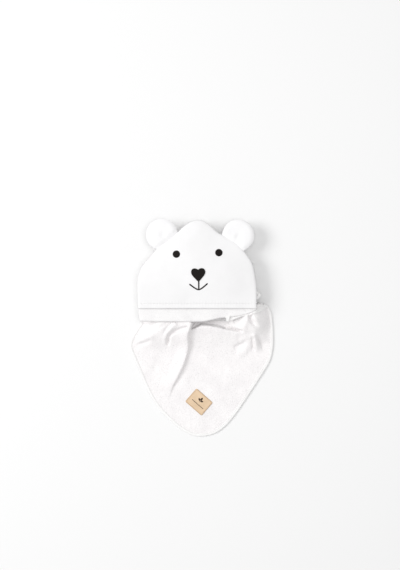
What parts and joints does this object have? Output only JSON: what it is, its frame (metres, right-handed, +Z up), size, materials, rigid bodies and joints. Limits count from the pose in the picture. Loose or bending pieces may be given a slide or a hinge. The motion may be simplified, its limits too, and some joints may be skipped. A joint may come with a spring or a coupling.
{
  "type": "hooded baby towel",
  "caption": "Folded terry baby towel with a corner hood in the shape of a bear's head with round ears, and a bound corner laid out in front",
  "frame": {"origin": "middle of the outline, on the surface that the towel lies on", "axes": "+Z up; +Y from the loose corner towards the hood; +X to the bear's left"},
  "size_m": [0.333, 0.5013, 0.0557],
  "materials": {
    "terry": "looped cotton terry",
    "face_cloth": "smooth knit",
    "binding": "bias tape",
    "black_thread": "satin stitch",
    "white_thread": "sewing thread",
    "label": "matte",
    "label_thread": "sewing thread",
    "label_print": "debossed"
  },
  "bodies": {
    "towel": {"towel_body_folded": "terry", "side_binding": "binding"},
    "hood": {"hood_back_panel": "terry", "hood_lining": "terry", "hood_front_panel": "face_cloth", "hood_hem_stitching": "white_thread", "eye_left": "black_thread", "eye_right": "black_thread", "nose": "black_thread", "smile": "black_thread", "philtrum": "black_thread", "hanging_tab": "binding"},
    "ear_left": {"ear_left_front": "face_cloth", "ear_left_back": "terry"},
    "ear_right": {"ear_right_front": "face_cloth", "ear_right_back": "terry"},
    "apron": {"towel_apron": "terry", "apron_binding": "binding", "label_patch": "label", "label_stitching": "label_thread", "label_mark": "label_print"}
  },
  "joints": [
    {"name": "hood_lift", "type": "hinge", "parent": "towel", "child": "hood", "pos_m": [-0.0084, 0.01417, 0.0343], "axis": [1, 0, 0], "range_deg": [0, 90]},
    {"name": "ear_left_fold", "type": "hinge", "parent": "hood", "child": "ear_left", "pos_m": [-0.07866, 0.20166, 0.0416], "axis": [0.754, 0.6568, 0], "range_deg": [0, 120]},
    {"name": "ear_right_fold", "type": "hinge", "parent": "hood", "child": "ear_right", "pos_m": [0.07464, 0.19867, 0.0416], "axis": [0.8027, -0.5964, 0], "range_deg": [0, 120]},
    {"name": "apron_lift", "type": "hinge", "parent": "towel", "child": "apron", "pos_m": [0, 0.0095, 0.029], "axis": [-1, 0, 0], "range_deg": [0, 60]}
  ]
}
